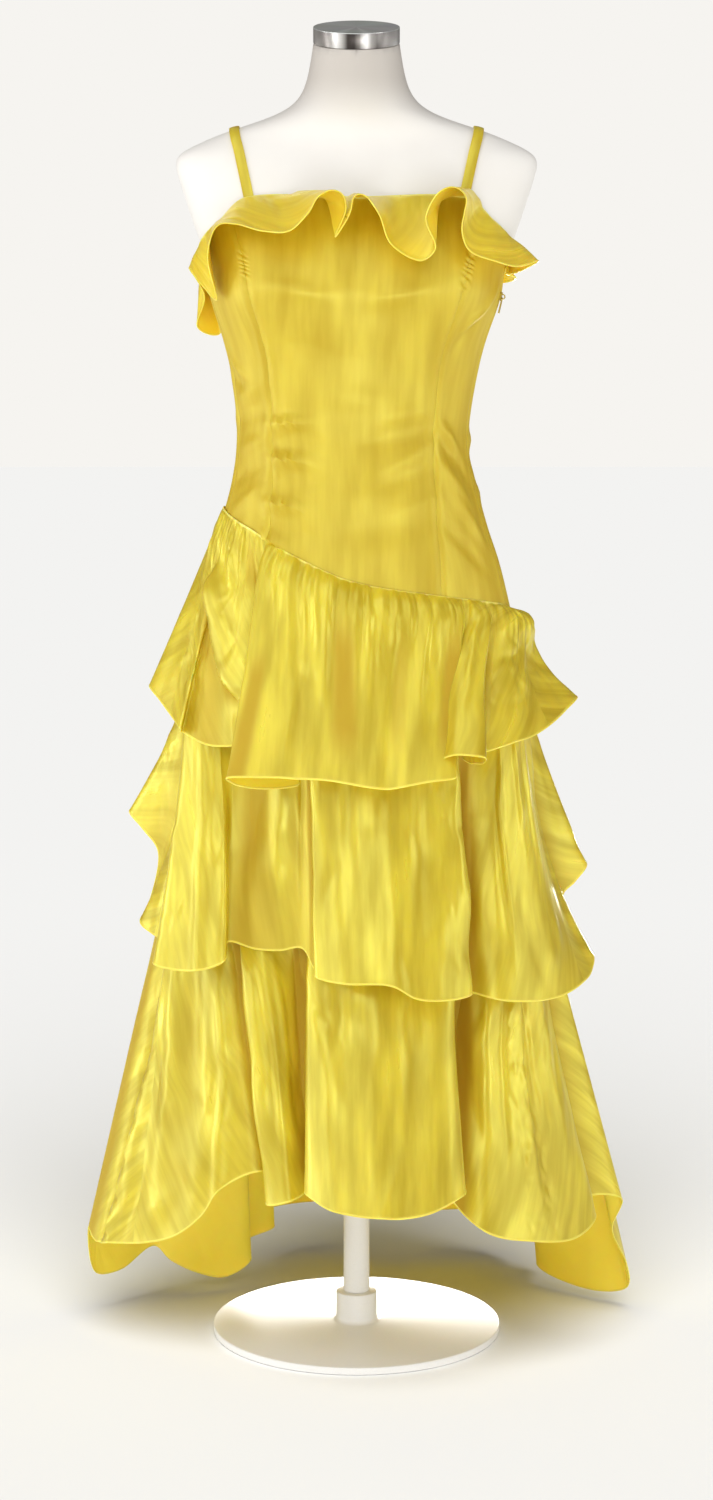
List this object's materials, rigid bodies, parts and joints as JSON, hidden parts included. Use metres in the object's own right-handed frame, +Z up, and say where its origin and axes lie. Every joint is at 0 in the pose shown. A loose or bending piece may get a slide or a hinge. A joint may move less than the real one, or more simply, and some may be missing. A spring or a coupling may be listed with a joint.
{
  "type": "high-low dress on a limbless dress form",
  "caption": "Sleeveless strappy high-low dress with a neckline ruffle, a diagonal dropped seam and stacked flounces, standing on a limbless dress form.",
  "frame": {"origin": "centre of the underside of the stand's base, on the floor", "axes": "+Z up, -Y to the front of the dress, +X to the wearer's left"},
  "size_m": [0.5963, 0.5406, 1.3917],
  "materials": {
    "satin": "yellow satin-faced organza, soft sheen",
    "zip_metal": "yellow lacquered zip slider and pull tab",
    "form_shell": "smooth matt warm white",
    "cap_steel": "brushed steel, turned",
    "stand_lacquer": "white lacquer"
  },
  "bodies": {
    "dress_on_form": {"bodice_front_centre": "satin", "bodice_side_front_right": "satin", "bodice_side_front_left": "satin", "bodice_back_centre": "satin", "bodice_side_back_right": "satin", "bodice_side_back_left": "satin", "neck_ruffle_front": "satin", "neck_ruffle_back": "satin", "strap_right": "satin", "strap_left": "satin", "base_skirt_front": "satin", "base_skirt_back": "satin", "tier_1_front": "satin", "tier_1_back": "satin", "tier_2_front": "satin", "tier_2_back": "satin", "tier_3_front": "satin", "tier_3_back": "satin", "zip_slider": "zip_metal", "form_torso": "form_shell", "form_neck_cap": "cap_steel", "form_pole": "stand_lacquer", "form_base": "stand_lacquer"},
    "zip_pull": {"zip_pull_tab": "zip_metal"}
  },
  "joints": [
    {"name": "zip_pull_tab_hinge", "type": "hinge", "parent": "dress_on_form", "child": "zip_pull", "pos_m": [0.15053, -0.02448, 1.10523], "axis": [-0.2154, -0.9765, 0], "range_deg": [0, 110]}
  ]
}
